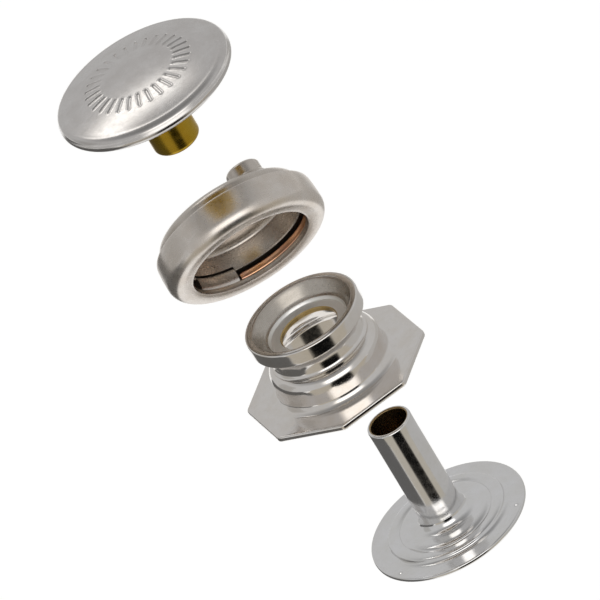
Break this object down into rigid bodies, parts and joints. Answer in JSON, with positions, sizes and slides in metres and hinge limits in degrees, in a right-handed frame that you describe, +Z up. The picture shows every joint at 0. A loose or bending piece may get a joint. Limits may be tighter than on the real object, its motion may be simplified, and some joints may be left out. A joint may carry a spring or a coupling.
{
  "type": "snap fastener",
  "caption": "One-way snap fastener for heavy cloth: domed cap with a brass post, sprung socket with a stub, rimmed stud with an eight-sided foot, and a flanged eyelet.",
  "frame": {"origin": "on the fastener's axis, in the plane where the underside of the cap sits on the upper cloth", "axes": "+Z up the fastener's axis towards the top of the cap; the socket tips about an axis nearly along X, on the +Y side"},
  "size_m": [0.0174, 0.0176, 0.052],
  "materials": {
    "cap_nickel": "satin nickel plate",
    "post_brass": "bare drawn brass",
    "case_nickel": "satin nickel plate",
    "crown_nickel": "satin nickel plate",
    "ring_copper": "bare copper coloured spring wire",
    "stud_nickel": "polished nickel plate",
    "eyelet_nickel": "polished nickel plate"
  },
  "bodies": {
    "cap": {"cap_shell": "cap_nickel", "cap_post": "post_brass"},
    "stud": {"stud": "stud_nickel"},
    "socket": {"socket_case": "case_nickel", "socket_back": "crown_nickel", "spring_ring": "ring_copper"},
    "eyelet": {"eyelet": "eyelet_nickel"}
  },
  "joints": [
    {"name": "stud_slide", "type": "slide", "parent": "cap", "child": "stud", "axis": [-0.0647, 0, 0.9979], "range_m": [0, 0.01854]},
    {"name": "socket_tip", "type": "hinge", "parent": "stud", "child": "socket", "pos_m": [0.0012, 0.0091, -0.02664], "axis": [0.9962, 0, 0.0872], "range_deg": [0, 53]},
    {"name": "eyelet_slide", "type": "slide", "parent": "stud", "child": "eyelet", "axis": [-0.128, 0, 0.9918], "range_m": [0, 0.0125]}
  ],
  "couplings": [
    {"joint": "socket_tip", "follows": "stud_slide", "rad_per_m": 49.89}
  ]
}
